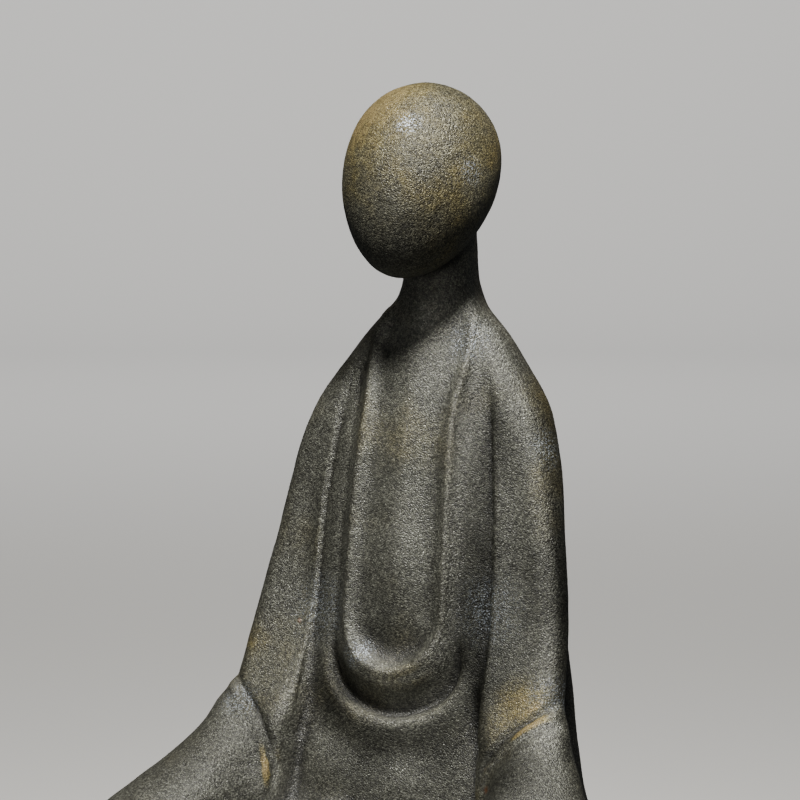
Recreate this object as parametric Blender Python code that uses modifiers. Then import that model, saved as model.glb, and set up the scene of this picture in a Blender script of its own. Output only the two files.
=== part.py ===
"""A seated Buddha with a plain egg-shaped head, cast in one piece with its low base.

Metres, +Z up. The figure faces -Y, its left side is +X, and the origin is the middle of the flat underside.
"""

import math

import bmesh
import bpy
import numpy as np

# Driving dimensions, in metres
FIGURE_HEIGHT = 0.242  # from the top of the base to the crown
BASE_THICKNESS = 0.008
BASE_MARGIN = 0.0035  # how far the base stands out around the robe
BASE_ROUND = 0.0018  # of its upper and lower edges
HEM_SINK = 0.0012  # how far the robe goes down into the base

# How finely the surface is divided, with more columns in front, where the carving is, before it is thinned
CHEST_COLUMNS = 10
PANEL_COLUMNS = 10
SIDE_COLUMNS = 80
COLUMNS = 2 * (CHEST_COLUMNS + PANEL_COLUMNS + SIDE_COLUMNS)
LAP_RINGS = 34
HEM_RINGS = 14
ROBE_TRIANGLES = 7000
HEAD_SEGMENTS = 28
HEAD_RINGS = 16
HAND_SEGMENTS = 16
HAND_RINGS = 8

# Height of the neck's flat end, inside the head, in drawn millimetres
NECK_TOP = 211.0

# The surface is found by rays from a line across the figure, this many from front to back. The line is this
# wide to each side, and the rings of rays are this far apart, at heights in drawn millimetres.
RAYS = 220
RAY_LENGTH = 125.0
RAY_STEP = 2.5
RAY_HALVINGS = 12  # of the step in which a ray leaves the figure
RAY_FAN = 0.35  # turns the rays towards the front and the back
RAY_SPREAD = (
    (0, 45), (20, 42), (42, 34), (62, 33), (90, 26), (124, 22), (152, 14), (175, 5), (190, 2),
    (NECK_TOP, 2),
)
RING_SPACING = ((78, 1.4), (95, 1.5), (110, 2.5), (150, 2.5), (165, 1.8), (190, 1.8), (NECK_TOP, 2.5))
LAP_TOP = 78.0  # the rays tilt down from here, to follow the lap
LAP_FOOT = 54.0
LAP_TILT = 0.34  # most that they fall for each millimetre outwards
LAP_TILT_CURVE = 1.3
EVEN_BELOW = 60.0  # the columns spread out more evenly below this height, over this fade, by this share
EVEN_FADE = 40.0
EVEN_SHARE = 0.5

# The figure is a free form. Its pose and carving are drawn in millimetres, for a figure this tall.
DRAWN_HEIGHT = 242.0
MM = FIGURE_HEIGHT / DRAWN_HEIGHT

# Each track gives sizes at heights above the base: (height, value, value, ...)
# Torso: half width, depth to the front and to the back from the neck's axis, and how square its front is
TORSO = (
    (0, 48, 40, 33, 3.5), (42, 43, 34.5, 27, 3.5), (68, 41, 29, 22, 3.2), (96, 36.2, 26.2, 18.5, 2.5),
    (124, 32.9, 22.4, 17, 2.3), (152, 26, 17.5, 15, 2.1), (162, 21, 15, 14, 2), (169, 17, 13, 13, 2),
    (175, 14.4, 11.6, 13, 2), (186, 10.8, 10, 11.4, 2), (196, 10.2, 10, 10.3, 2), (203, 9.8, 10, 9.8, 2),
    (207, 9, 10, 8.4, 2), (211, 6.5, 10, 5, 2),
)
# Back: half width and half depth of the cloak across the shoulders and hips, and its centre behind the axis
BACK = (
    (0, 56, 39, 0), (20, 48, 35, -1), (42, 39, 29, -2), (96, 36, 22, -4), (140, 31, 18, -3),
    (164, 19.6, 13.6, -1), (186, 6, 6, 0),
)
# Sleeve: its inner edge across and forward, and its radius there, then the same three for its outer edge
SLEEVE = (
    (10, 34, 27, 5, 36, 29, 4), (42, 38, 33, 7, 41, 34, 6), (62, 37, 28, 7, 45.4, 28.2, 6),
    (85, 29, 17, 7, 45, 19.8, 5.3), (118.5, 22, 8, 7.5, 38.4, 10.9, 6), (141, 18, 5.5, 9, 31.8, 6.1, 8.2),
    (152.5, 15, 3.5, 10, 26.2, 3.4, 9.4), (163.5, 10, 2.5, 9.5, 19, 1.8, 8.9),
    (175, 5, 1, 8.5, 10.7, 0.8, 8), (186, 0, 0, 5, 2, 0, 4),
)
WEB = (0.8, 3, 2)  # where the cloak behind a sleeve ends: share of the back's half width, mm behind, radius
# Thigh: the hip across and forward, and its radius, then the same three for the knee
THIGH = (
    (0, 28, -2, 18, 73, 62, 20), (17, 28, 0, 16, 73, 64, 21), (27, 28, 0, 14, 68, 63, 19.5),
    (42.5, 30, 2, 10, 58, 51.5, 16), (51, 29, 2, 8.5, 53, 41, 13), (56.5, 31, 3, 6.5, 50, 35.5, 11.4),
    (62, 34, 8, 4.5, 49.5, 31.5, 8.1), (68, 36, 10, 2, 50.3, 28.3, 5.2), (76, 32, 9, -5, 49, 23, -1),
)
# Lap: half width and depth to the front of the robe stretched over the crossed legs
LAP = ((0, 60, 66), (18, 57, 66), (26, 52, 61), (33, 45, 53), (39, 36, 41), (44, 20, 20))
LAP_BACK = 20
SHIN = ((66, 64, 11, 16), (0, 66, 9, 16))  # its ends across, forward, height and radius

# Softness of the joins between those forms. A pair is for the front and the back, and turns from one to the
# other between two distances behind the neck's axis.
CLOAK_BLEND = 6.0
SLEEVE_BLEND = (1.5, 5.0)
SLEEVE_BLEND_TURN = (-10, 15)
SLEEVE_BLEND_TOP = (130, 170)  # the shoulders are joined as in front, above these heights
LEG_BLEND = (3.0, 10.0)
LEG_BLEND_TURN = (-24, 2)
LAP_BLEND = 7.0

# Hands: ovals lying one on the other in the lap, and thumbs. Centre, then half sizes, across, forward and up
RIGHT_HAND = ((-6, 47, 31.5), (28, 14, 8))
LEFT_HAND = ((8, 45, 36.5), (26, 12, 6))
THUMB = ((8, 49, 39.5), (10, 3.6, 4))
THUMB_TURN = math.radians(12)

# The carving fades in between these distances in front of the neck's axis
CARVED_FROM = (2, 8)

# Neckline: a long U-shaped roll of cloth, narrow at the neck and thick at its lowest point
COLLAR = ((60, 15.2), (95, 14.9), (125, 14.3), (153, 13.5), (165, 14.8), (175, 14.5), (186, 12.5))
COLLAR_ARC_HEIGHT = 95.0
COLLAR_ENDS = ((34, 46), (176, 186))  # it fades in and out between these heights
COLLAR_FOOT = (0.15, 0.9)  # its side turns into its lowest part between these slopes
COLLAR_WIDTH = (5.0, 12.3)  # at its sides and at its lowest point, as the three pairs below
COLLAR_INNER_WIDTH = (2.5, 3.5)
COLLAR_CREST = (1.1, 2.2)
COLLAR_CREASE = (0.7, 2.6)
CHEST_HOLLOW = 1.2
CHEST_HOLLOW_WIDTH = 6.0
CHEST_HOLLOW_EDGE = 3.0  # it starts over this width, inside the roll
DRAPE_PITCH = 18.0  # the shallower U-shaped folds below the collar
DRAPE_DEPTH = 1.0
DRAPE_FADE = 25.0
DRAPE_START = 2.5  # how far beyond the roll the first fold is highest
CREASE_FADE = 1.2  # how far beyond the roll its crease runs out

# The sleeves lie over the front of the robe, and their inner edges show as a step
SLEEVE_EDGE = ((20, 32), (42, 31), (68, 29.3), (96, 27.8), (124, 26.8), (150, 24), (170, 18))
SLEEVE_STEP = 1.5
SLEEVE_STEP_WIDTH = 2.0
SLEEVE_STEP_FADE = 9.0
SLEEVE_STEP_ENDS = ((38, 52), (145, 170))
PANEL_MARGIN = 6.0  # the collar and folds fade out over this width, beside the sleeves

# The robe over the legs ends in a raised lip where the sleeves go down behind it
LIP_RISE = 1.2
LIP_WIDTH = 4.0
LIP_EDGE = 1.5  # it rises from the sleeve over this width
LIP_GROOVE = 1.2
LIP_GROOVE_WIDTH = 2.0
LIP_END = (44, 52)  # it fades out between these distances across, on the sleeve's outer side
LIP_START = (38, 48)  # and between these heights, above the lap

# Head: an egg whose long axis leans back
HEAD_CENTRE = (0.0, -12.7, 214.2)
HEAD_HALF_LENGTH = 28.8
HEAD_RADIUS = 21.6
HEAD_TAPER = 0.15
HEAD_LEAN = math.radians(31)

IRON_GREY = (0.105, 0.1, 0.088, 1.0)


def track(table, heights):
    """The columns of a table at these heights, along a smooth curve through its rows."""
    knots = np.array(table, float)
    z, values = knots[:, 0], knots[:, 1:]
    slopes = np.gradient(values, z, axis=0)
    heights = np.clip(heights, z[0], z[-1])
    i = np.clip(np.searchsorted(z, heights) - 1, 0, len(z) - 2)
    step = (z[i + 1] - z[i])[..., None]
    t = (heights - z[i])[..., None] / step
    curve = (
        (2 * t**3 - 3 * t**2 + 1) * values[i]
        + (t**3 - 2 * t**2 + t) * step * slopes[i]
        + (3 * t**2 - 2 * t**3) * values[i + 1]
        + (t**3 - t**2) * step * slopes[i + 1]
    )
    return np.moveaxis(curve, -1, 0)


def ease(t):
    t = np.clip(t, 0, 1)
    return t * t * (3 - 2 * t)


def between(pair, share):
    return pair[0] + (pair[1] - pair[0]) * share


def rising(value, pair):
    """0 below the first of the pair, 1 above the second, and smooth between them."""
    return ease((value - pair[0]) / (pair[1] - pair[0]))


def blend(a, b, softness):
    """The nearer of two distances, with the corner between them rounded."""
    h = np.clip(0.5 + 0.5 * (b - a) / softness, 0, 1)
    return b + (a - b) * h - softness * h * (1 - h)


def oval(x, y, half_width, half_depth, squareness=2):
    reach = (np.abs(x / half_width) ** squareness + np.abs(y / half_depth) ** squareness) ** (1 / squareness)
    return (reach - 1) * np.minimum(half_width, half_depth)


def flat_bar(x, y, x1, y1, r1, x2, y2, r2):
    """Distance, within one level, to a bar with round ends from point 1 to point 2."""
    run_x, run_y = x2 - x1, y2 - y1
    along = np.clip(((x - x1) * run_x + (y - y1) * run_y) / (run_x**2 + run_y**2), 0, 1)
    gap = np.hypot(x - x1 - along * run_x, y - y1 - along * run_y)
    return gap - (r1 + (r2 - r1) * along)


def round_bar(x, y, z, start, end):
    """Distance to a bar with round ends, from (x, y, z, radius) to (x, y, z, radius)."""
    run = [b - a for a, b in zip(start, end)]
    length_squared = run[0] ** 2 + run[1] ** 2 + run[2] ** 2
    along = ((x - start[0]) * run[0] + (y - start[1]) * run[1] + (z - start[2]) * run[2]) / length_squared
    along = np.clip(along, 0, 1)
    gap = (x - start[0] - along * run[0]) ** 2 + (y - start[1] - along * run[1]) ** 2
    gap = np.sqrt(gap + (z - start[2] - along * run[2]) ** 2)
    return gap - (start[3] + run[3] * along)


def body_distance(x, y, z):
    """How far a point is outside the torso, cloak and sleeves, in drawn millimetres."""
    across, forward = np.abs(x), -y
    width, front, back, squareness = track(TORSO, z)
    torso = oval(x, y, width, np.where(forward > 0, front, back), np.where(forward > 0, squareness, 2))
    back_width, back_depth, back_centre = track(BACK, z)
    body = blend(torso, oval(x, y - back_centre, back_width, back_depth), CLOAK_BLEND)
    sleeve = track(SLEEVE, z)
    arm = flat_bar(across, forward, *sleeve)
    web = flat_bar(across, forward, *sleeve[3:], WEB[0] * back_width, -WEB[1], WEB[2])
    softness = between(SLEEVE_BLEND, rising(y, SLEEVE_BLEND_TURN) * (1 - rising(z, SLEEVE_BLEND_TOP)))
    return blend(body, np.minimum(arm, web), softness)


def leg_distance(x, y, z):
    across, forward = np.abs(x), -y
    thigh = flat_bar(across, forward, *track(THIGH, z))
    half_width, depth = track(LAP, z)
    lap = np.where(z < LAP[-1][0], oval(x, y, half_width, np.where(forward > 0, depth, LAP_BACK)), z)
    return blend(thigh, blend(lap, round_bar(across, forward, z, *SHIN), LAP_BLEND), LAP_BLEND)


def collar_relief(x, z):
    """The U-shaped roll at the neck, the hollow inside it and the fainter folds below it."""
    below = np.maximum(COLLAR_ARC_HEIGHT - z, 0)
    reach = np.hypot(x, below)
    out = reach - track(COLLAR, z)[0]
    foot = rising(below / np.maximum(reach, 1e-6), COLLAR_FOOT)
    width = between(COLLAR_WIDTH, foot)
    crest = between(COLLAR_CREST, foot)
    crease = between(COLLAR_CREASE, foot)
    hollow = -CHEST_HOLLOW * np.exp(-(((out + CHEST_HOLLOW_WIDTH) / CHEST_HOLLOW_WIDTH) ** 2))
    inner = crest * (1 - ease(-out / between(COLLAR_INNER_WIDTH, foot)))
    inner = inner + hollow * ease(-out / CHEST_HOLLOW_EDGE)
    roll = crest - (crest + crease) * ease(out / width)
    beyond = np.maximum(out - width, 0)
    waves = np.cos(2 * math.pi * (beyond - DRAPE_START) / DRAPE_PITCH)
    drape = DRAPE_DEPTH * foot * waves * np.exp(-beyond / DRAPE_FADE)
    settled = drape * ease(beyond / DRAPE_START) - crease * np.exp(-beyond / CREASE_FADE)
    raised = np.where(out < 0, inner, np.where(out < width, roll, settled))
    to_sleeve = track(SLEEVE_EDGE, z)[0] - np.abs(x)
    fade = ease(to_sleeve / PANEL_MARGIN)
    return raised * fade * rising(z, COLLAR_ENDS[0]) * (1 - rising(z, COLLAR_ENDS[1]))


def sleeve_relief(x, z):
    """The step at each sleeve's inner edge."""
    out = np.abs(x) - track(SLEEVE_EDGE, z)[0]
    step = SLEEVE_STEP * ease(out / SLEEVE_STEP_WIDTH)
    fade = np.exp(-np.maximum(out - SLEEVE_STEP_WIDTH, 0) / SLEEVE_STEP_FADE)
    return step * fade * rising(z, SLEEVE_STEP_ENDS[0]) * (1 - rising(z, SLEEVE_STEP_ENDS[1]))


def lip_relief(x, z, to_body, to_legs):
    """The raised lip of the robe on the legs, and the groove beside it."""
    rise = LIP_RISE * np.exp(-((np.maximum(to_body, 0) / LIP_WIDTH) ** 2)) * ease(to_body / LIP_EDGE)
    groove = LIP_GROOVE * np.exp(-((np.maximum(to_legs, 0) / LIP_GROOVE_WIDTH) ** 2))
    ends = (1 - rising(np.abs(x), LIP_END)) * rising(z, LIP_START)
    return np.where(to_legs < to_body, rise, -groove) * ends


def figure_distance(x, y, z):
    """How far a point is outside the carved figure, in drawn millimetres."""
    to_body, to_legs = body_distance(x, y, z), leg_distance(x, y, z)
    on_front = rising(-y, CARVED_FROM)
    cloth = collar_relief(x, z) + sleeve_relief(x, z)
    carved = np.where(to_body < to_legs, cloth, 0) + lip_relief(x, z, to_body, to_legs)
    return blend(to_body, to_legs, between(LEG_BLEND, rising(y, LEG_BLEND_TURN))) - carved * on_front


def ring_rays():
    """Heights and slopes of the rings: level down the body, tilted over the lap, level again at the hem."""
    body = [NECK_TOP]
    while body[-1] > LAP_TOP + 1:
        body.append(body[-1] - float(track(RING_SPACING, np.array(body[-1]))[0]))
    body = np.array(body)
    lap = np.linspace(0, 1, LAP_RINGS + 1)[1:]
    hem = np.linspace(0, 1, HEM_RINGS + 1)[1:]
    lap_heights = between((body[-1], LAP_FOOT), lap)
    hem_heights = between((LAP_FOOT, -HEM_SINK / MM), hem)
    slopes = np.concatenate([0 * body, LAP_TILT * lap**LAP_TILT_CURVE, LAP_TILT * (1 - hem)])
    return np.concatenate([body, lap_heights, hem_heights]), slopes


def ray(turn, height):
    """Where the ray for this turn starts across the figure, and its direction, across and forward."""
    heading = turn - RAY_FAN * np.sin(2 * turn)
    return track(RAY_SPREAD, height)[0] * np.sin(turn), np.sin(heading), np.cos(heading)


def surface_reach(heights, slopes, turns):
    """How far the surface is along each ray. A ray falls by its slope for each millimetre outwards."""
    start, across, forward = ray(turns[None, :, None], heights[:, None, None])

    def distance(reach):
        z = heights[:, None, None] - slopes[:, None, None] * reach
        return figure_distance(start + across * reach, -forward * reach, z)

    steps = np.arange(0.0, RAY_LENGTH, RAY_STEP)
    inside = distance(np.broadcast_to(steps, (len(heights), len(turns), len(steps)))) < 0
    near = steps[inside.shape[2] - 1 - np.argmax(inside[:, :, ::-1], axis=2)][..., None]
    far = near + RAY_STEP
    for _ in range(RAY_HALVINGS):
        middle = (near + far) / 2
        within = distance(middle) < 0
        near, far = np.where(within, middle, near), np.where(within, far, middle)
    return near[..., 0]


def ring_points(height, slope, reach, turns):
    """One ring. Its columns follow the collar and the sleeve edges, and spread out evenly below them."""
    start, across, forward = ray(turns, np.array(height))
    x, y = start + across * reach, -forward * reach
    travelled = np.append(0, np.cumsum(np.hypot(np.diff(x), np.diff(y))))
    collar, sleeve = track(COLLAR, np.array(height))[0], track(SLEEVE_EDGE, np.array(height))[0]
    front = turns < math.radians(80)
    guide_turns = (0, np.interp(min(collar, 0.7 * x.max()), x[front], turns[front]),
                   np.interp(min(sleeve, 0.95 * x.max()), x[front], turns[front]), math.pi)
    guides = np.interp(guide_turns, turns, travelled)
    counts = (0, CHEST_COLUMNS, CHEST_COLUMNS + PANEL_COLUMNS, COLUMNS // 2)
    column = np.arange(COLUMNS // 2 + 1)
    even = travelled[-1] * column / (COLUMNS // 2)
    spread = EVEN_SHARE * ease((EVEN_BELOW - height) / EVEN_FADE)
    turn = np.interp(between((np.interp(column, counts, guides), even), spread), travelled, turns)
    turn = np.concatenate([turn, -turn[-2:0:-1]])
    reach = np.interp(np.abs(turn), turns, reach)
    start, across, forward = ray(turn, np.array(height))
    x, y, z = start + across * reach, -forward * reach, height - slope * reach
    return np.column_stack([x * MM, y * MM, z * MM + BASE_THICKNESS])


def robe_rings():
    turns = np.linspace(0, math.pi, RAYS + 1)
    heights, slopes = ring_rays()
    reach = surface_reach(heights, slopes, turns)
    return [ring_points(height, slope, row, turns) for height, slope, row in zip(heights, slopes, reach)]


def base_outline(hem_ring):
    """The robe's hem, moved outwards by the base's margin."""
    ahead = np.roll(hem_ring, -1, axis=0)
    behind = np.roll(hem_ring, 1, axis=0)
    outward = np.column_stack([ahead[:, 1] - behind[:, 1], behind[:, 0] - ahead[:, 0]])
    outward /= np.linalg.norm(outward, axis=1)[:, None]
    return hem_ring[:, :2] + outward * BASE_MARGIN


def lofted_mesh(name, rings):
    """A closed, smooth-shaded mesh through rings of points, from the top ring to the bottom one."""
    mesh = bmesh.new()
    rows = [[mesh.verts.new(point) for point in ring] for ring in rings]
    for upper, lower in zip(rows, rows[1:]):
        for i in range(len(upper)):
            j = (i + 1) % len(upper)
            mesh.faces.new((upper[i], lower[i], lower[j], upper[j]))
    mesh.faces.new(rows[0])
    mesh.faces.new(rows[-1][::-1])
    bmesh.ops.recalc_face_normals(mesh, faces=mesh.faces)
    data = bpy.data.meshes.new(name)
    mesh.to_mesh(data)
    mesh.free()
    data.shade_smooth()
    return data


def make_robe(collection, rings):
    robe = bpy.data.objects.new("figure", lofted_mesh("figure", rings))
    collection.objects.link(robe)
    thin = robe.modifiers.new("thin_out", "DECIMATE")
    thin.ratio = ROBE_TRIANGLES / (2 * COLUMNS * len(rings))
    thin.use_symmetry = True
    return robe


def make_base(collection, hem_ring):
    """A low slab that follows the hem, with its edges rounded."""
    mesh = bmesh.new()
    foot = mesh.faces.new([mesh.verts.new((x, y, 0)) for x, y in base_outline(hem_ring)[::2]])
    top = bmesh.ops.extrude_face_region(mesh, geom=[foot])["geom"]
    lifted = [item for item in top if isinstance(item, bmesh.types.BMVert)]
    bmesh.ops.translate(mesh, verts=lifted, vec=(0, 0, BASE_THICKNESS))
    bmesh.ops.recalc_face_normals(mesh, faces=mesh.faces)
    data = bpy.data.meshes.new("base_form")
    mesh.to_mesh(data)
    mesh.free()
    base = bpy.data.objects.new("base_form", data)
    collection.objects.link(base)
    rounding = base.modifiers.new("edges", "BEVEL")
    rounding.width = BASE_ROUND
    rounding.segments = 2
    rounding.angle_limit = math.radians(60)
    return base


def round_form(collection, name, segments, rings):
    """A ball with a radius of 1, to be shaped."""
    bpy.ops.mesh.primitive_uv_sphere_add(segments=segments, ring_count=rings, radius=1)
    form = bpy.context.object
    form.name = name
    form.data.shade_smooth()
    for other in form.users_collection:
        other.objects.unlink(form)
    collection.objects.link(form)
    return form


def make_head(collection):
    """An egg, wider towards the crown, leaning back on the neck."""
    head = round_form(collection, "head_form", HEAD_SEGMENTS, HEAD_RINGS)
    for vertex in head.data.vertices:
        radius = HEAD_RADIUS * (1 + HEAD_TAPER * vertex.co.z)
        vertex.co = (vertex.co.x * radius, vertex.co.y * radius, vertex.co.z * HEAD_HALF_LENGTH)
    head.scale = (MM, MM, MM)
    head.rotation_euler = (-HEAD_LEAN, 0, 0)
    head.location = drawn_point(*HEAD_CENTRE)
    return head


def drawn_point(x, y, z):
    return (x * MM, y * MM, z * MM + BASE_THICKNESS)


def make_hand(collection, name, placed, turn=0.0):
    (across, forward, up), half_sizes = placed
    hand = round_form(collection, name, HAND_SEGMENTS, HAND_RINGS)
    hand.scale = [half * MM for half in half_sizes]
    hand.rotation_euler = (0, 0, turn)
    hand.location = drawn_point(across, -forward, up)
    return hand


def hand_forms(collection):
    (across, forward, up), half_sizes = THUMB
    return (
        make_hand(collection, "right_hand_form", RIGHT_HAND),
        make_hand(collection, "left_hand_form", LEFT_HAND),
        make_hand(collection, "right_thumb_form", ((-across, forward, up), half_sizes), -THUMB_TURN),
        make_hand(collection, "left_thumb_form", THUMB, THUMB_TURN),
    )


def join(body, other):
    union = body.modifiers.new("join_" + other.name, "BOOLEAN")
    union.operation = "UNION"
    union.object = other
    other.hide_render = True
    other.display_type = "WIRE"


def finish_material():
    """Iron-grey glaze with a dull metallic sheen."""
    material = bpy.data.materials.new("iron_glaze")
    material.use_nodes = True
    shader = material.node_tree.nodes["Principled BSDF"]
    shader.inputs["Base Color"].default_value = IRON_GREY
    shader.inputs["Roughness"].default_value = 0.5
    shader.inputs["Metallic"].default_value = 0.35
    return material


def centre_on_origin(robe, base, others):
    """Moves everything back together, so that the origin is the middle of the figure's depth."""
    depths = [vertex.co.y for thing in (robe, base) for vertex in thing.data.vertices]
    middle = (min(depths) + max(depths)) / 2
    for thing in (robe, base, *others):
        thing.location.y -= middle


def main():
    for thing in list(bpy.data.objects):
        bpy.data.objects.remove(thing)
    figure = bpy.data.collections.new("seated_buddha")
    forms = bpy.data.collections.new("joined_forms")
    bpy.context.scene.collection.children.link(figure)
    bpy.context.scene.collection.children.link(forms)
    rings = robe_rings()
    robe = make_robe(figure, rings)
    base = make_base(forms, rings[-1])
    others = (make_head(forms), *hand_forms(forms))
    for form in (base, *others):
        join(robe, form)
    centre_on_origin(robe, base, others)
    robe.data.materials.append(finish_material())


main()
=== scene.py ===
import math

import bpy
import numpy as np
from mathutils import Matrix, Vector


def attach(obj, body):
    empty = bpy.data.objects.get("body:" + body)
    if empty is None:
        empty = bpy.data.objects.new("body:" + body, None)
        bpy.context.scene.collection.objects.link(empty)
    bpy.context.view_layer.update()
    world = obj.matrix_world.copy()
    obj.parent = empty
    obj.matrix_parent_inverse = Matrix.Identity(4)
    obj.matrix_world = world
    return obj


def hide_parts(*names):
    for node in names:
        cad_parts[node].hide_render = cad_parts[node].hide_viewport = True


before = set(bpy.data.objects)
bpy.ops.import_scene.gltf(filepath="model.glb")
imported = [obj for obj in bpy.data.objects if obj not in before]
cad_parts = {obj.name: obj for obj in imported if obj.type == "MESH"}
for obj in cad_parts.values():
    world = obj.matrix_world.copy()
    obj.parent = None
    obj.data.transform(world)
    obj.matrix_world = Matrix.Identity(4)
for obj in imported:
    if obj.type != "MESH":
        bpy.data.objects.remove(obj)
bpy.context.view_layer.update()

mm = 0.001

# Where the figure stands in the frame, in metres
place = {
    "neckBack": 0.0215,              # the neck's axis is this far behind the origin
    "baseTop": 0.008,                # height of the low base under the robe
}


# Camera

view = {
    "turn": 30.0,                    # degrees round from the front, towards the figure's left
    "rise": 5.5,                     # degrees above level
    "distance": 1.1,
    "frameWidth": 0.2254,            # metres across the picture at the neck
    "aimHeight": 0.1604,
    "aimAcross": -0.0115,            # the aim is this far to the left of the neck
    "nearest": 0.05,                 # anything nearer the camera is not drawn
}


def viewAxes():
    turn, rise = math.radians(view["turn"]), math.radians(view["rise"])
    across = Vector((math.cos(turn), math.sin(turn), 0))
    outward = Vector((math.sin(turn) * math.cos(rise), -math.cos(turn) * math.cos(rise), math.sin(rise)))
    return across, outward


def aimPoint():
    across, outward = viewAxes()
    return Vector((0, place["neckBack"], view["aimHeight"])) + across * view["aimAcross"]


def makeCamera():
    across, outward = viewAxes()
    bpy.ops.object.camera_add(location=aimPoint() + outward * view["distance"])
    camera = bpy.context.object
    camera.rotation_euler = (-outward).to_track_quat("-Z", "Y").to_euler()
    camera.data.lens = camera.data.sensor_width * view["distance"] / view["frameWidth"]
    camera.data.clip_start = view["nearest"]
    bpy.context.scene.camera = camera


makeCamera()
print("camera placed")


# Helpers for modelling

def selectOnly(piece):
    bpy.ops.object.select_all(action="DESELECT")
    piece.select_set(True)
    bpy.context.view_layer.objects.active = piece


def finishWith(piece, kind, **settings):      # adds one modifier and applies it
    modifier = piece.modifiers.new(kind.lower(), kind)
    for name, value in settings.items():
        setattr(modifier, name, value)
    selectOnly(piece)
    bpy.ops.object.modifier_apply(modifier=modifier.name)


def pointsOf(piece):
    points = np.empty(len(piece.data.vertices) * 3)
    piece.data.vertices.foreach_get("co", points)
    return points.reshape(-1, 3)


def normalsOf(piece):
    normals = np.empty(len(piece.data.vertices) * 3)
    piece.data.vertices.foreach_get("normal", normals)
    return normals.reshape(-1, 3)


def movePoints(piece, points):
    piece.data.vertices.foreach_set("co", points.ravel())
    piece.data.update()


# Drawn millimetres run across, forward and up, from the neck's axis and the base's top

def drawn(points):
    across = points[:, 0] / mm
    forward = (place["neckBack"] - points[:, 1]) / mm
    up = (points[:, 2] - place["baseTop"]) / mm
    return across, forward, up


def placed(across, forward, up):     # the other way, to metres in the frame
    return across * mm, place["neckBack"] - forward * mm, place["baseTop"] + up * mm


def ease(t):
    t = np.clip(t, 0, 1)
    return t * t * (3 - 2 * t)


def rising(value, limits):           # 0 below the first limit, 1 above the second
    return ease((value - limits[0]) / (limits[1] - limits[0]))


def between(pair, share):
    return pair[0] + (pair[1] - pair[0]) * share


def bump(distance, width):
    return np.exp(-((distance / width) ** 2))


# The figure

figure = {
    "voxel": 0.8 * mm,               # spacing of the worked surface
    "rounds": 5,                     # smoothing everywhere
    "plainRounds": 30,               # more smoothing where nothing is carved
    "triangles": 192000,             # in the finished piece
    "unevenSize": 11 * mm,           # soft lumps of a surface finished by hand
    "unevenDepth": 0.3 * mm,
    "grainSize": 2.4 * mm,
    "grainDepth": 0.09 * mm,
    "crestRounds": 16,               # how widely the sharp and the broad relief are judged
    "valleyRounds": 150,
    "carvedRounds": 2,               # smoothing after the carving
    "flatBelow": 0.5 * mm,           # points lower than this are laid on the ground
    "front": 4.0,                    # the robe is carved only this far forward, in drawn millimetres
}

plain = {                            # where nothing is carved, in drawn millimetres
    "headFrom": (192, 200),
    "behind": (4, -6),
    "aboveBase": (3, 9),
    "kneeForward": (46, 56),
    "kneeAcross": (40, 52),
    "kneeUp": (6, 14),
}

head = {                             # the egg, in millimetres from the neck's axis and the base's top
    "centre": (0.0, -12.7, 214.2),   # across, back and up
    "halfLength": 28.7,
    "radius": 21.5,
    "taper": 0.15,
    "lean": 31.0,                    # degrees back from upright
    "joint": 190.0,                  # the egg is true above this height, and away from the neck
    "pull": (0.05, 0.11),            # share off the egg at which points are drawn to it, and are let be
    "neckReach": (12.0, 18.0),
    "napeTop": (205.0, 212.0),
    "neckRadius": 10.0,
    "filletReach": (2.5, 7.0),       # the corner with the neck is rounded this far to each side
    "filletRounds": 70,
    "filletBelowJoint": 10.0,        # and no lower than this
}

collar = {                           # millimetres
    "halfWidth": (                   # height, half width
        (60, 15.2), (95, 14.9), (125, 14.3), (153, 13.5), (165, 14.8), (175, 14.5), (186, 12.5)),
    "arcHeight": 95.0,               # the sides run straight down to here, then round in a half circle
    "rollWidth": (5.0, 12.3),        # at the sides and at the lowest point
    "creaseDepth": (0.2, 0.9),
    "creaseWidth": 1.0,
    "crestRise": (0.45, 0.7),
    "crestWidth": (0.9, 1.4),
    "bulge": 0.8,                    # of the roll's thick lower part
    "bulgeFrom": 4.5,                # below its crest
    "bulgeWidth": 3.0,
    "hollow": 1.0,                   # above the roll's lower part
    "hollowFrom": -5.5,
    "hollowWidth": 4.5,
    "footFrom": (0.15, 0.9),         # share of the way down the half circle
    "crestAt": 0.6,
    "clearOfSleeve": 1.0,
    "bottom": (38.0, 46.0),
    "top": (172.0, 182.0),
}

belly = {
    "rise": 0.9,
    "height": 111.0,
    "halfWidth": 9.0,
    "halfHeight": 13.0,
}

sleeveEdge = {
    "path": (                        # height, across
        (20, 32), (42, 31), (68, 29.3), (96, 27.8), (124, 26.8), (150, 24), (170, 18)),
    "step": 1.7,                     # the sleeve stands this far above the robe
    "sharp": (0.0, 1.0),             # its edge rises between these distances,
    "soft": (-1.0, 3.0),             # where the worked surface still rises between these
    "bottom": ((40.0, 48.0), (64.0, 72.0)),      # where the step starts, on the left and on the right
    "top": (140.0, 160.0),
    "frontEnd": 42.0,
}

legLip = {                           # the raised edge of the cloth over each leg, beside the sleeve
    "path": (                        # across, forward, up
        (53, 25, 75), (49.7, 29.5, 72), (39.8, 34.3, 64),
        (35.1, 37, 57), (33.3, 37.7, 49), (34, 38, 42)),
    "steps": 80,                     # points along the path
    "fade": 12,                      # of them at each end
    "within": ((28, 60), (18, 48), (36, 80)),    # the only part of the robe that it touches
    "towardsLeg": (0.75, 0.45, -0.5),
    "ridgeRise": 0.9,
    "ridgeWidth": 1.7,
    "ridgeOffset": 1.6,
    "grooveDepth": 0.8,
    "grooveWidth": 1.0,
    "grooveOffset": -0.9,
}


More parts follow.
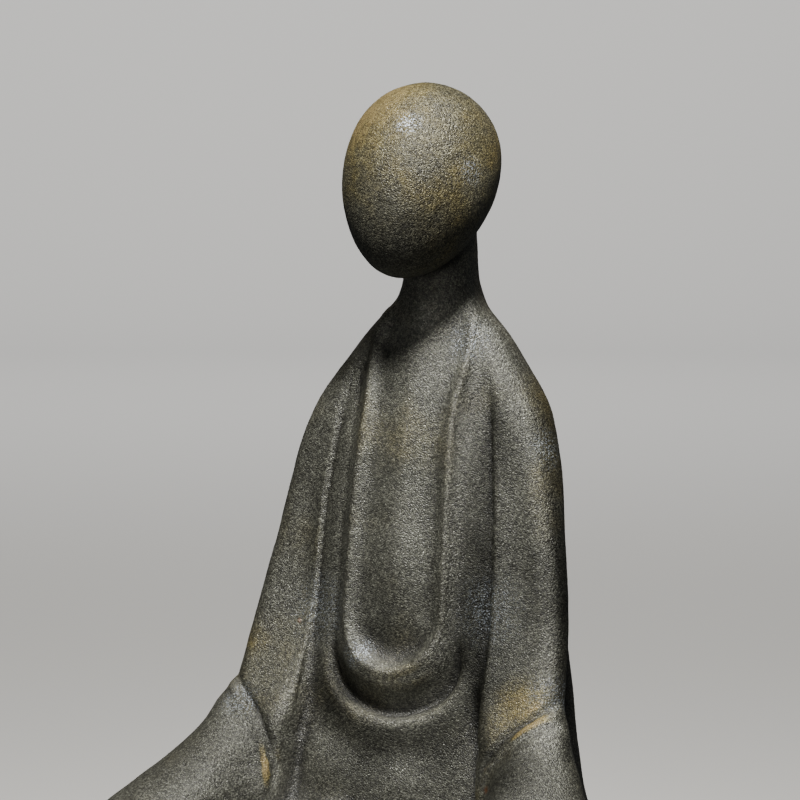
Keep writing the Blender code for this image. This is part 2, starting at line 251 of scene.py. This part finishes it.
def startFigure():
    piece = bpy.data.objects.new("seatedFigure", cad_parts["figure"].data.copy())
    bpy.context.scene.collection.objects.link(piece)
    selectOnly(piece)
    bpy.ops.object.mode_set(mode="EDIT")
    bpy.ops.mesh.select_all(action="SELECT")
    bpy.ops.mesh.remove_doubles(threshold=0.01 * mm)
    bpy.ops.object.mode_set(mode="OBJECT")
    return piece


def plainShare(points):              # 1 on the head, back and outer legs, 0 on the front of the robe
    x, forward, z = drawn(points)
    onHead = rising(z, plain["headFrom"])
    behind = rising(forward, plain["behind"]) * rising(z, plain["aboveBase"])
    knee = rising(forward, plain["kneeForward"]) * rising(np.abs(x), plain["kneeAcross"])
    knee *= rising(z, plain["kneeUp"])
    return np.maximum(np.maximum(onHead, behind), knee)


def smoothWhere(piece, share, rounds):   # share is 0 to 1 for each point
    group = piece.vertex_groups.new(name="smoothed")
    for step in range(1, 11):        # ten steps of weight are fine enough
        chosen = np.nonzero(np.round(share * 10) == step)[0]
        group.add(chosen.tolist(), step / 10, "REPLACE")
    finishWith(piece, "SMOOTH", factor=0.5, iterations=rounds, vertex_group=group.name)
    piece.vertex_groups.clear()


def smoothFigure(piece):
    finishWith(piece, "SMOOTH", factor=0.5, iterations=figure["rounds"])
    smoothWhere(piece, plainShare(pointsOf(piece)), figure["plainRounds"])


def eggReach(x, forward, z):         # 1 on the head's egg, less inside it and more outside
    lean = math.radians(head["lean"])
    y, up = -forward - head["centre"][1], z - head["centre"][2]
    back = y * math.cos(lean) - up * math.sin(lean)
    along = y * math.sin(lean) + up * math.cos(lean)
    share = np.clip(along / head["halfLength"], -1, 1)
    radius = head["radius"] * (1 + head["taper"] * share)
    return np.sqrt((x / radius) ** 2 + (back / radius) ** 2 + (along / head["halfLength"]) ** 2)


def trueHead(piece):                 # puts the head's points on the egg itself
    points = pointsOf(piece)
    x, forward, z = drawn(points)
    reach = eggReach(x, forward, z)
    near = (1 - rising(np.abs(reach - 1), head["pull"])) * (z > head["joint"])
    offNeck = np.maximum(rising(np.hypot(x, forward), head["neckReach"]), rising(z, head["napeTop"]))
    grow = 1 + (1 / np.maximum(reach, 0.5) - 1) * near * offNeck
    centre = np.array(placed(head["centre"][0], -head["centre"][1], head["centre"][2]))
    movePoints(piece, centre + (points - centre) * grow[:, None])


def softenNeck(piece):               # rounds the corner where the head meets the neck
    x, forward, z = drawn(pointsOf(piece))
    fromEgg = (eggReach(x, forward, z) - 1) * head["radius"]
    fromNeck = np.hypot(x, forward) - head["neckRadius"]
    share = 1 - rising(np.hypot(fromEgg, fromNeck), head["filletReach"])
    share *= z > head["joint"] - head["filletBelowJoint"]
    smoothWhere(piece, share, head["filletRounds"])


def tableAt(table, heights):
    return np.interp(heights, [row[0] for row in table], [row[1] for row in table])


def carveCollar(x, forward, z):      # sharpens the crest of the roll and the crease under it
    below = np.maximum(collar["arcHeight"] - z, 0)
    reach = np.hypot(x, below)
    out = reach - tableAt(collar["halfWidth"], z)
    foot = rising(below / np.maximum(reach, 0.001), collar["footFrom"])
    crestWidth = between(collar["crestWidth"], foot)
    push = between(collar["crestRise"], foot) * bump(out - collar["crestAt"], crestWidth)
    fromCrease = out - between(collar["rollWidth"], foot)
    push -= between(collar["creaseDepth"], foot) * bump(fromCrease, collar["creaseWidth"])
    push += collar["bulge"] * foot * bump(out - collar["bulgeFrom"], collar["bulgeWidth"])
    push -= collar["hollow"] * foot * bump(out - collar["hollowFrom"], collar["hollowWidth"])
    push += belly["rise"] * bump(x, belly["halfWidth"]) * bump(z - belly["height"], belly["halfHeight"])
    inside = np.abs(x) < tableAt(sleeveEdge["path"], z) - collar["clearOfSleeve"]
    ends = rising(z, collar["bottom"]) * (1 - rising(z, collar["top"]))
    return push * inside * ends * (forward > figure["front"])


def carveSleeves(x, forward, z):
    out = np.abs(x) - tableAt(sleeveEdge["path"], z)
    push = sleeveEdge["step"] * (rising(out, sleeveEdge["sharp"]) - rising(out, sleeveEdge["soft"]))
    left, right = (rising(z, limits) for limits in sleeveEdge["bottom"])
    ends = np.where(x > 0, left, right) * (1 - rising(z, sleeveEdge["top"]))
    return push * ends * (forward > figure["front"]) * (forward < sleeveEdge["frontEnd"])


def carveLips(x, forward, z):
    path = np.array(legLip["path"], float)
    travelled = np.append(0, np.cumsum(np.linalg.norm(np.diff(path, axis=0), axis=1)))
    steps = np.linspace(0, travelled[-1], legLip["steps"])
    line = np.column_stack([np.interp(steps, travelled, path[:, i]) for i in range(3)])
    push = np.zeros(len(x))
    spots = np.column_stack([np.abs(x), forward, z])
    low, high = np.array(legLip["within"], float).T
    near = np.nonzero(((spots > low) & (spots < high)).all(axis=1))[0]
    gaps = np.linalg.norm(spots[near][:, None, :] - line[None, :, :], axis=2)
    nearest = gaps.argmin(axis=1)
    side = (spots[near] - line[nearest]) @ np.array(legLip["towardsLeg"])
    distance = np.where(side > 0, 1, -1) * gaps.min(axis=1)
    last = legLip["steps"] - 1
    ends = ease(nearest / legLip["fade"]) * ease((last - nearest) / legLip["fade"])
    ridge = legLip["ridgeRise"] * bump(distance - legLip["ridgeOffset"], legLip["ridgeWidth"])
    groove = legLip["grooveDepth"] * bump(distance - legLip["grooveOffset"], legLip["grooveWidth"])
    push[near] = (ridge - groove) * ends
    return push


def carveFigure(piece):
    points, normals = pointsOf(piece), normalsOf(piece)
    x, forward, z = drawn(points)
    push = carveCollar(x, forward, z) + carveSleeves(x, forward, z) + carveLips(x, forward, z)
    movePoints(piece, points + normals * (push * mm)[:, None])
    finishWith(piece, "SMOOTH", factor=0.5, iterations=figure["carvedRounds"])


def roughenFigure(piece):            # soft lumps and a fine grain, as a cast and glazed surface has
    for name, size, depth in (("lumps", figure["unevenSize"], figure["unevenDepth"]),
                              ("grain", figure["grainSize"], figure["grainDepth"])):
        clouds = bpy.data.textures.new(name, "CLOUDS")
        clouds.noise_scale = size
        clouds.noise_depth = 1
        finishWith(piece, "DISPLACE", texture=clouds, texture_coords="LOCAL",
                   strength=depth, mid_level=0.5)


def levelFoot(piece):                # the underside stays flat on the ground
    points = pointsOf(piece)
    points[:, 2] = np.maximum(points[:, 2], 0)
    points[points[:, 2] < figure["flatBelow"], 2] = 0
    movePoints(piece, points)


def averaged(values, piece, rounds):     # each point's value, averaged with its neighbours' in rounds
    edges = np.empty(len(piece.data.edges) * 2, int)
    piece.data.edges.foreach_get("vertices", edges)
    a, b = edges.reshape(-1, 2).T
    count = len(piece.data.vertices)
    links = np.bincount(a, minlength=count) + np.bincount(b, minlength=count)
    for _ in range(rounds):
        nearby = np.bincount(a, values[b], count) + np.bincount(b, values[a], count)
        values = (values + nearby / np.maximum(links, 1)) / 2
    return values


def storeValues(piece, name, values):    # as an attribute that the material reads
    attribute = piece.data.attributes.new(name, "FLOAT", "POINT")
    attribute.data.foreach_set("value", values.astype(np.float32))


def markRelief(piece, name, rounds):     # how far each point stands proud of its surroundings, in mm
    points, normals = pointsOf(piece), normalsOf(piece)
    smooth = np.column_stack([averaged(points[:, i], piece, rounds) for i in range(3)])
    relief = averaged(np.einsum("ij,ij->i", points - smooth, normals) / mm, piece, 2)
    storeValues(piece, name, relief)
    print(name, "from %.2f to %.2f mm" % (relief.min(), relief.max()))


# Light and dark painted into the glaze, in stops: 1 halves its colour and gloss, and less than 0
# lightens them. Part of it is the glaze's own, and part stands for light that the lamps here don't give.

shade = {
    "spots": (                       # across, forward and up in drawn millimetres, radius, stops
        (47, 45, 55, 9, 1.7),        # below the lip on the left knee
        (38, 37, 62, 6, 0.9),
        (33, 29, 77, 8, 1.2),        # above it
        (30, 24, 88, 8, 0.6),
        (48, 18, 101, 11, 1.2),      # the left sleeve's outer side
        (46, 16, 115, 8, 0.7),
        (29, 19, 114, 7, 0.4),
        (54, 25, 62, 10, -0.8),
        (33, 13, 143, 8, 0.4),
        (30, 31, 65, 5, -0.6),
        (-17, 28, 70, 6, 1.5),       # beside the roll's lowest part
        (24, 22, 100, 8, 0.8),
        (20, 27, 86, 6, 0.7),
        (-19, 28, 77, 6, 0.9),
        (-22, 26, 96, 5, 0.5),
        (19, 30, 58, 8, 1.3),        # between the two lowest folds
        (-4, 31, 56, 10, 1.1),
        (2, 33, 50, 6, -0.4),        # the lowest fold
        (10, 28, 90, 5, -0.5),       # inside the roll
        (3, 26, 100, 8, 0.4),
        (1, 26, 114, 13, -0.4),      # the middle of the chest
        (-3, 18, 154, 7, -0.2),
        (-52, 46, 53, 18, 0.4),      # the right knee
        (-42, 33, 66, 4, 0.7),       # the gap at its lip
        (-36, 37, 58, 5, 1.0),
        (-30, 30, 68, 5, -0.9),      # the right sleeve's lower edge
        (-31, 35, 47, 8, -0.9),
        (1, 29, 73, 8, -1.3),        # under the roll
        (12, 29, 72, 5, -0.7),
        (-11, 29, 76, 5, -0.7),
        (5, 32, 200, 9, 1.0),        # the head's lower front
        (0, 28, 190, 6, -0.7),
        (9, 30, 220, 16, 0.5),
        (12, 30, 209, 6, 0.5),
        (-11, 31, 208, 8, 0.4),
        (22, 16, 213, 9, -0.8),      # the head's left side
        (3, 12, 176, 6, -1.2),       # the neck
        (-9, 11, 171, 7, -1.1),
        (-27, 8, 162, 7, 2.0),       # the right shoulder, in the head's shadow
        (-14, 12, 165, 5, 1.2),
    ),
    "band": (                        # height, across
        (52, 34), (61, 32), (73, 27), (87, 24), (114, 24), (128, 24.5), (141, 25), (160, 24)),
    # painted shade: the band below darkens the robe beside the left sleeve
    "bandStops": 1.3,                # a dark band down the robe beside the left sleeve
    "bandWidth": 4.5,
    "bandEnds": ((54, 66), (146, 165)),
    # painted shade: the sides below darken where the surface turns away from the key light
    "sides": 1.2,                    # where the sleeves and the legs face outwards
    "sidesFrom": (0.60, 0.92),
    "sidesTop": (160, 180),
    "rounds": 6,                     # of softening
}


# The painted light and shade is stored as the attribute light.
def markShade(piece):                # stores the share of colour and gloss that is left at each point
    x, forward, z = drawn(pointsOf(piece))
    stops = np.zeros(len(x))
    for across, ahead, up, radius, amount in shade["spots"]:
        away = np.sqrt((x - across) ** 2 + (forward - ahead) ** 2 + (z - up) ** 2)
        stops += amount * bump(away, radius)
    band = bump(x - tableAt(shade["band"], z), shade["bandWidth"]) * (forward > 0)
    low, high = shade["bandEnds"]
    stops += shade["bandStops"] * band * rising(z, low) * (1 - rising(z, high))
    outward = normalsOf(piece)[:, 0] * np.sign(x)
    sideways = rising(outward, shade["sidesFrom"]) * (1 - rising(z, shade["sidesTop"]))
    stops += shade["sides"] * sideways
    storeValues(piece, "light", 2.0 ** -averaged(stops, piece, shade["rounds"]))


def makeFigure():
    piece = startFigure()
    finishWith(piece, "SUBSURF", levels=1, render_levels=1)
    finishWith(piece, "REMESH", mode="VOXEL", voxel_size=figure["voxel"])
    print("figure remeshed,", len(piece.data.vertices), "points")
    smoothFigure(piece)
    trueHead(piece)
    softenNeck(piece)
    print("figure smoothed")
    carveFigure(piece)
    roughenFigure(piece)
    levelFoot(piece)
    fourSided = len(piece.data.polygons)
    finishWith(piece, "DECIMATE", ratio=min(1.0, figure["triangles"] / (2 * fourSided)))
    finishWith(piece, "TRIANGULATE")
    markRelief(piece, "crest", figure["crestRounds"])
    markRelief(piece, "valley", figure["valleyRounds"])
    markShade(piece)
    selectOnly(piece)
    bpy.ops.object.shade_smooth()
    print("figure carved,", len(piece.data.polygons), "triangles")
    return piece


seatedFigure = makeFigure()
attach(seatedFigure, "root")
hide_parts("figure")


# The glaze

glaze = {
    "grain": 0.42 * mm,              # the sand-like grains
    "speck": 0.27 * mm,              # finer dark and light specks between them
    "mottle": 3.5 * mm,
    "bloom": 26 * mm,
    "grainBump": 0.16 * mm,
    "mottleBump": 0.12 * mm,
    "speckHeight": 0.6,              # as a share of the grains' height
    "metallic": 0.35,
    "specular": 0.9,
    "gloss": (0.24, 0.56),           # roughness of the shiniest and the dullest grains
    "mottleDulls": 0.12,
    "start": 0.02,                   # the tone is this, and the shares below of what they name
    "grainShare": 0.45,
    "speckShare": 0.35,
    "mottleShare": 0.14,
    "thinShare": 0.14,
    "hollowShare": 0.16,             # taken away in hollows
    "valleyFrom": (0.1, 1.4),        # millimetres deep
    "creaseFrom": (0.05, 0.4),
    "bloomFrom": (0.45, 0.75),
    "bloomThins": 0.28,
    "edgeFrom": (0.05, 0.30),        # millimetres proud
    "edgeThins": 0.08,
    "thinMottle": (1.1, 0.45),
    "stainFrom": (0.0, 0.7),         # how thin the glaze is where a tint starts and is full
    "ochreFrom": (0.35, 1.1),
    # which specks take the painted highlight
    "paintedGlintFrom": (0.70, 0.95),
}

tones = (                            # from the darkest to the lightest grains: share, linear colour
    (0.00, (0.007, 0.007, 0.006, 1)),
    (0.25, (0.026, 0.025, 0.019, 1)),
    (0.50, (0.067, 0.066, 0.053, 1)),
    (0.72, (0.146, 0.147, 0.115, 1)),
    (0.90, (0.270, 0.274, 0.225, 1)),
    (1.00, (0.440, 0.475, 0.485, 1)),
)

stain = (1.20, 1.00, 0.48, 1)        # what thin glaze does to the grains' colour
ochre = (0.310, 0.225, 0.090, 1)     # where it is thinnest
rust = (0.420, 0.130, 0.020, 1)

thinPlaces = (                       # across, forward and up in drawn millimetres, radius, strength
    (-14, 20, 238, 26, 0.70),        # the head's upper right
    (0, 10, 222, 46, 0.55),          # the whole head, fading downwards
    (0, -10, 205, 10, 0.3),          # the nape
    (41, 30, 74, 11, 0.5),           # above the lip on the left knee
    (33, 2, 152, 14, 0.35),          # the left shoulder
    (-46, 24, 84, 8, 0.25),          # the right forearm
    (33, 38, 47, 7, 0.4),
)

wornEdges = (                        # the same, where only the raised edges are worn
    (43, 31, 69, 11, 1.5),           # the lip on the left knee
    (-36, 39, 51, 9, 0.9),           # and on the right one
    (8, 28, 76, 12, 0.4),            # the lowest part of the roll
)

rustPlaces = (
    (34.6, 37.4, 56.3, 1.0, 0.9),
    (37.2, 40.4, 51.5, 1.6, 0.6),
    (-32.3, 23.6, 90.4, 1.0, 0.5),
)


# Painted highlights: bluish-white glints painted into the colour of the lightest specks, at the places
# below where highlights fall
paintedGlint = (0.70, 0.78, 0.88, 1)

paintedGlintPlaces = (
    (5, 27, 231, 5, 1.2),            # the head's front
    (21, 19, 218, 6, 0.6),
    (14, 9, 170, 9, 0.4),            # the collar at the neck
    (42, 11, 143, 9, 0.4),           # the left sleeve
    (47, 24, 75, 9, 0.5),
    (29, 24, 98, 14, 0.2),
    (-10, 28, 83, 6, 0.9),           # the roll's lowest part
    (-46, 32, 67, 8, 0.5),           # the lip on the right knee
    (-26, 25, 95, 14, 0.3),
)


class NodeTree:                      # short calls for adding and joining shader nodes
    def __init__(self, material):
        material.use_nodes = True
        self.tree = material.node_tree
        self.shader = self.tree.nodes["Principled BSDF"]
        self.place = self.add("ShaderNodeTexCoord").outputs["Object"]

    def add(self, kind, **settings):
        node = self.tree.nodes.new(kind)
        for name, value in settings.items():
            setattr(node, name, value)
        return node

    def put(self, socket, value):    # a link or a plain value
        if isinstance(value, bpy.types.NodeSocket):
            self.tree.links.new(value, socket)
        else:
            socket.default_value = value

    def noise(self, size, detail=2.0, roughness=0.5, shift=0.0):
        where = self.add("ShaderNodeMapping")
        self.put(where.inputs["Vector"], self.place)
        where.inputs["Location"].default_value = (shift, shift * 0.7, -shift)
        node = self.add("ShaderNodeTexNoise")
        self.put(node.inputs["Vector"], where.outputs["Vector"])
        node.inputs["Scale"].default_value = 1 / size
        node.inputs["Detail"].default_value = detail
        node.inputs["Roughness"].default_value = roughness
        return node.outputs["Fac"]

    def cells(self, size):           # packed grains: two random values each, and how far from its middle
        node = self.add("ShaderNodeTexVoronoi")
        self.put(node.inputs["Vector"], self.place)
        node.inputs["Scale"].default_value = 1 / size
        split = self.add("ShaderNodeSeparateColor")
        self.put(split.inputs["Color"], node.outputs["Color"])
        return split.outputs["Red"], split.outputs["Green"], node.outputs["Distance"]

    def ramp(self, value, low, high):    # 0 below low, 1 above high
        node = self.add("ShaderNodeMapRange", interpolation_type="SMOOTHSTEP")
        self.put(node.inputs["Value"], value)
        node.inputs["From Min"].default_value = low
        node.inputs["From Max"].default_value = high
        return node.outputs["Result"]

    def math(self, operation, a, b=0.0):
        node = self.add("ShaderNodeMath", operation=operation)
        self.put(node.inputs[0], a)
        self.put(node.inputs[1], b)
        return node.outputs["Value"]

    def scaled(self, value, factor, plus=0.0):
        node = self.add("ShaderNodeMath", operation="MULTIPLY_ADD")
        self.put(node.inputs[0], value)
        self.put(node.inputs[1], factor)
        self.put(node.inputs[2], plus)
        return node.outputs["Value"]

    def mix(self, share, a, b, blend="MIX"):
        node = self.add("ShaderNodeMix", data_type="RGBA", blend_type=blend)
        self.put(node.inputs["Factor"], share)
        self.put(node.inputs[6], a)
        self.put(node.inputs[7], b)
        return node.outputs[2]

    def tone(self, value, stops):
        node = self.add("ShaderNodeValToRGB")
        band = node.color_ramp.elements
        while len(band) < len(stops):
            band.new(0.5)
        for element, (share, colour) in zip(band, stops):
            element.position = share
            element.color = colour
        self.put(node.inputs["Fac"], value)
        return node.outputs["Color"]

    def near(self, place, radius):   # 1 at a place on the figure, 0 beyond the radius
        node = self.add("ShaderNodeVectorMath", operation="DISTANCE")
        self.put(node.inputs[0], self.place)
        node.inputs[1].default_value = place
        return self.math("SUBTRACT", 1.0, self.ramp(node.outputs["Value"], 0.0, radius))

    def bump(self, height, distance, normal=None):
        node = self.add("ShaderNodeBump")
        self.put(node.inputs["Height"], height)
        node.inputs["Distance"].default_value = distance
        if normal:
            self.put(node.inputs["Normal"], normal)
        return node.outputs["Normal"]


def nearAny(nodes, places, start=0.0):   # adds up nearness to the places, each with its strength
    total = start
    for across, forward, up, radius, strength in places:
        near = nodes.near(placed(across, forward, up), radius * mm)
        total = nodes.scaled(near, strength, total)
    return total


def thinGlaze(nodes, mottle, bloom, crest):      # how thin it is: in drifts, at places and on edges
    thin = nodes.scaled(nodes.ramp(bloom, *glaze["bloomFrom"]), glaze["bloomThins"])
    thin = nearAny(nodes, thinPlaces, thin)
    edge = nodes.ramp(crest, *glaze["edgeFrom"])
    thin = nodes.scaled(edge, nearAny(nodes, wornEdges, glaze["edgeThins"]), thin)
    return nodes.math("MULTIPLY", thin, nodes.scaled(mottle, *glaze["thinMottle"]))


# How light the glaze is at a point, from 0 for the darkest tone to 1 for the lightest

def glazeValue(nodes, grain, speck, mottle, thin, crest, valley):
    value = nodes.scaled(speck, glaze["speckShare"], glaze["start"])
    value = nodes.scaled(grain, glaze["grainShare"], value)
    value = nodes.scaled(mottle, glaze["mottleShare"], value)
    value = nodes.scaled(thin, glaze["thinShare"], value)
    broad = nodes.ramp(nodes.scaled(valley, -1.0), *glaze["valleyFrom"])
    narrow = nodes.ramp(nodes.scaled(crest, -1.0), *glaze["creaseFrom"])
    return nodes.scaled(nodes.math("ADD", broad, narrow), -glaze["hollowShare"], value)


def makeIronGlaze():
    material = bpy.data.materials.new("ironGlaze")
    nodes = NodeTree(material)
    crest = nodes.add("ShaderNodeAttribute", attribute_name="crest").outputs["Fac"]
    valley = nodes.add("ShaderNodeAttribute", attribute_name="valley").outputs["Fac"]
    # the painted light and shade that markShade stores
    light = nodes.add("ShaderNodeAttribute", attribute_name="light").outputs["Fac"]
    grain, shine, inGrain = nodes.cells(glaze["grain"])
    speck, speckShine, inSpeck = nodes.cells(glaze["speck"])
    mottle = nodes.noise(glaze["mottle"], 3.0, 0.6, 0.12)
    bloom = nodes.noise(glaze["bloom"], 3.0, 0.5, 0.47)
    thin = thinGlaze(nodes, mottle, bloom, crest)

    value = glazeValue(nodes, grain, speck, mottle, thin, crest, valley)
    colour = nodes.tone(value, tones)
    colour = nodes.mix(nodes.ramp(thin, *glaze["stainFrom"]), colour, stain, "MULTIPLY")
    thinnest = nodes.math("MULTIPLY", nodes.ramp(thin, *glaze["ochreFrom"]), value)
    colour = nodes.mix(thinnest, colour, ochre)
    # painted shade and painted light multiply the colour
    colour = nodes.mix(1.0, colour, light, "MULTIPLY")
    colour = nodes.mix(nodes.math("MULTIPLY", nearAny(nodes, rustPlaces), mottle), colour, rust)
    # painted highlight: the lightest specks near those places turn bluish white
    bright = nodes.ramp(speckShine, *glaze["paintedGlintFrom"])
    paintedGlintShare = nodes.math("MULTIPLY", nearAny(nodes, paintedGlintPlaces), bright)
    colour = nodes.mix(paintedGlintShare, colour, paintedGlint)
    nodes.put(nodes.shader.inputs["Base Color"], colour)

    shiniest, dullest = glaze["gloss"]
    dullness = nodes.scaled(shine, dullest - shiniest, shiniest)
    nodes.put(nodes.shader.inputs["Roughness"], nodes.scaled(mottle, glaze["mottleDulls"], dullness))
    nodes.shader.inputs["Metallic"].default_value = glaze["metallic"]
    # painted shade and painted light also scale the gloss
    specular = nodes.math("MULTIPLY", light, glaze["specular"])
    nodes.put(nodes.shader.inputs["Specular IOR Level"], specular)

    normal = nodes.bump(mottle, glaze["mottleBump"])
    grainHeight = nodes.scaled(inGrain, -1.0, nodes.scaled(inSpeck, -glaze["speckHeight"]))
    nodes.put(nodes.shader.inputs["Normal"], nodes.bump(grainHeight, glaze["grainBump"], normal))
    return material


seatedFigure.data.materials.clear()
seatedFigure.data.materials.append(makeIronGlaze())
print("glaze made")


# Stage and light

stage = {
    "radius": 3.0,                   # a round, open studio: a pale floor that runs up into its wall
    "wall": 2.2,
    "sweep": 0.9,
    "colour": (0.60, 0.59, 0.57, 1),
    "roughness": 0.9,
    "worldColour": (0.9, 0.95, 1.0, 1),
    "worldStrength": 0.04,
}

# Each light's degrees right of the camera, degrees up, metres away, size, watts and colour
lights = {
    "key": (-5, 61, 0.80, 0.20, 16, (1.0, 0.99, 0.96)),
    "fill": (-15, -5, 1.2, 0.8, 2.6, (1.0, 0.98, 0.94)),
    "side": (108, 20, 1.2, 0.15, 0.3, (0.90, 0.96, 1.0)),
    "rightRim": (150, 20, 1.2, 0.3, 0.2, (1.0, 0.82, 0.55)),
    "leftRim": (-150, 25, 1.2, 0.3, 0.2, (1.0, 0.82, 0.55)),
}

backLight = {                        # a narrow beam on the figure's back, hidden from the camera
    "turn": 180,
    "rise": -3,
    "away": 1.2,
    "cone": 20,                      # degrees
    "size": 0.05,
    "watts": 50,
    "colour": (1.0, 0.97, 0.92),
}

wash = {                             # lights the studio's wall behind and in front, and not the figure
    "place": (-0.7, 1.1, 1.9),
    "aim": (-1.15, 1.85, 1.4),
    "size": 1.2,
    "watts": 60,
}


def makeStage():
    bpy.ops.object.select_all(action="DESELECT")
    bpy.ops.mesh.primitive_cylinder_add(vertices=96, radius=stage["radius"], depth=stage["wall"],
                                        location=(0, 0, stage["wall"] / 2))
    studio = bpy.context.object
    studio.name = "studio"
    bpy.ops.object.mode_set(mode="EDIT")
    bpy.ops.mesh.select_all(action="DESELECT")
    bpy.ops.mesh.select_mode(type="FACE")
    bpy.ops.object.mode_set(mode="OBJECT")
    for face in studio.data.polygons:
        face.select = face.normal.z > 0.9
    bpy.ops.object.mode_set(mode="EDIT")
    bpy.ops.mesh.delete(type="FACE")
    bpy.ops.mesh.select_mode(type="EDGE")
    bpy.ops.object.mode_set(mode="OBJECT")
    low = [vertex.co.z < 0 for vertex in studio.data.vertices]
    for edge in studio.data.edges:
        edge.select = all(low[i] for i in edge.vertices)
    bpy.ops.object.mode_set(mode="EDIT")
    bpy.ops.mesh.bevel(offset=stage["sweep"], segments=16, affect="EDGES")
    bpy.ops.object.mode_set(mode="OBJECT")
    bpy.ops.object.shade_smooth()
    paper = bpy.data.materials.new("palePaper")
    paper.use_nodes = True
    shader = paper.node_tree.nodes["Principled BSDF"]
    shader.inputs["Base Color"].default_value = stage["colour"]
    shader.inputs["Roughness"].default_value = stage["roughness"]
    studio.data.materials.append(paper)
    studio.visible_diffuse = False   # the pale paper throws no light up at the dark figure
    studio.visible_glossy = False


def addLight(name, kind, location, aim, watts, colour):
    bpy.ops.object.light_add(type=kind, location=location)
    light = bpy.context.object
    light.name = name
    light.rotation_euler = (Vector(aim) - Vector(location)).to_track_quat("-Z", "Y").to_euler()
    light.data.energy = watts
    light.data.color = colour
    return light.data


def addPanel(name, location, aim, size, watts, colour):
    panel = addLight(name, "AREA", location, aim, watts, colour)
    panel.shape = "DISK"
    panel.size = size


def around(turn, rise, away):        # a place round the figure, in degrees from the camera's direction
    turn, rise = math.radians(view["turn"] + turn), math.radians(rise)
    level = math.cos(rise)
    outward = Vector((math.sin(turn) * level, -math.cos(turn) * level, math.sin(rise)))
    return aimPoint() + outward * away


def makeLights():
    for name, (turn, rise, away, size, watts, colour) in lights.items():
        addPanel(name, around(turn, rise, away), aimPoint(), size, watts, colour)
    behind = around(backLight["turn"], backLight["rise"], backLight["away"])
    beam = addLight("back", "SPOT", behind, aimPoint(), backLight["watts"], backLight["colour"])
    beam.spot_size = math.radians(backLight["cone"])
    beam.spot_blend = 1.0
    beam.shadow_soft_size = backLight["size"]
    for name, end in (("washBehind", 1), ("washInFront", -1)):
        location = [wash["place"][0] * end, wash["place"][1] * end, wash["place"][2]]
        aim = [wash["aim"][0] * end, wash["aim"][1] * end, wash["aim"][2]]
        addPanel(name, location, aim, wash["size"], wash["watts"], (1, 1, 1))


def makeWorld():
    world = bpy.data.worlds.new("softDaylight")
    bpy.context.scene.world = world
    world.use_nodes = True
    sky = world.node_tree.nodes["Background"]
    sky.inputs["Color"].default_value = stage["worldColour"]
    sky.inputs["Strength"].default_value = stage["worldStrength"]


makeStage()
makeLights()
makeWorld()
print("stage lit")
